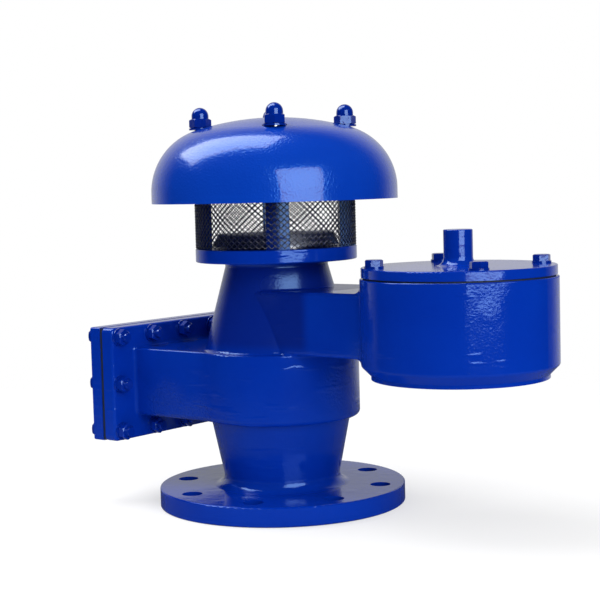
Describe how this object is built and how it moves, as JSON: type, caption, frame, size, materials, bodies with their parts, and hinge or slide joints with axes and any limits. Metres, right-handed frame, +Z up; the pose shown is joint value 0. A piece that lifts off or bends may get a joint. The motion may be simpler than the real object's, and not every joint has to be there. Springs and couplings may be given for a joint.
{
  "type": "flame arrester breather valve",
  "caption": "Tank breather valve with a drawer-type flame arrester: flanged column, hooded pressure outlet, and a vacuum chamber on a side arm.",
  "frame": {"origin": "centre of the tank flange's underside", "axes": "+Z up along the column, +X towards the vacuum chamber, -X towards the arrester drawer's cover"},
  "size_m": [0.4203, 0.22, 0.3531],
  "materials": {
    "blue_enamel": "glossy cobalt blue enamel over cast skin",
    "blue_fasteners": "glossy blue enamel over steel fasteners",
    "gasket": "dark green compressed fibre sheet",
    "seal_rubber": "black sealing ring",
    "drawer_aluminium": "machined aluminium",
    "ribbon_steel": "wound stainless ribbon",
    "seat_steel": "turned stainless steel",
    "pallet_aluminium": "turned aluminium",
    "weight_steel": "cast iron weight",
    "stem_steel": "ground stainless steel",
    "screen_wire": "dark woven wire mesh"
  },
  "bodies": {
    "root": {"valve_body": "blue_enamel", "drawer_cover": "blue_enamel", "drawer_cover_gasket": "gasket", "drawer_cover_bolts": "blue_fasteners", "drawer_cover_washers": "blue_fasteners", "drawer_cover_nuts": "blue_fasteners", "arrester_drawer": "drawer_aluminium", "arrester_ribbon_element": "ribbon_steel", "arrester_retaining_grids": "ribbon_steel", "pressure_stem_guide": "seat_steel", "pressure_seat_ring": "seat_steel", "hood": "blue_enamel", "hood_studs": "stem_steel", "hood_washers": "blue_fasteners", "hood_cap_nuts": "blue_fasteners", "outlet_screen": "screen_wire", "chamber_cover": "blue_enamel", "chamber_cover_gasket": "gasket", "chamber_cover_bolts": "blue_fasteners", "chamber_cover_washers": "blue_fasteners", "vacuum_seat_ring": "seat_steel", "vacuum_inlet_ring": "blue_enamel", "vacuum_inlet_screen": "screen_wire", "vacuum_inlet_screws": "stem_steel"},
    "pressure_pallet_assembly": {"pressure_pallet": "pallet_aluminium", "pressure_pallet_seal": "seal_rubber", "pressure_pallet_weight": "weight_steel", "pressure_stem": "stem_steel", "pressure_stem_nuts": "stem_steel"},
    "vacuum_pallet_assembly": {"vacuum_pallet": "pallet_aluminium", "vacuum_pallet_seal": "seal_rubber", "vacuum_pallet_weight": "weight_steel", "vacuum_stem": "stem_steel", "vacuum_stem_nut": "stem_steel"}
  },
  "joints": [
    {"name": "pressure_lift", "type": "slide", "parent": "root", "child": "pressure_pallet_assembly", "axis": [0, 0, 1], "range_m": [0, 0.02]},
    {"name": "vacuum_lift", "type": "slide", "parent": "root", "child": "vacuum_pallet_assembly", "axis": [0, 0, 1], "range_m": [0, 0.018]}
  ]
}
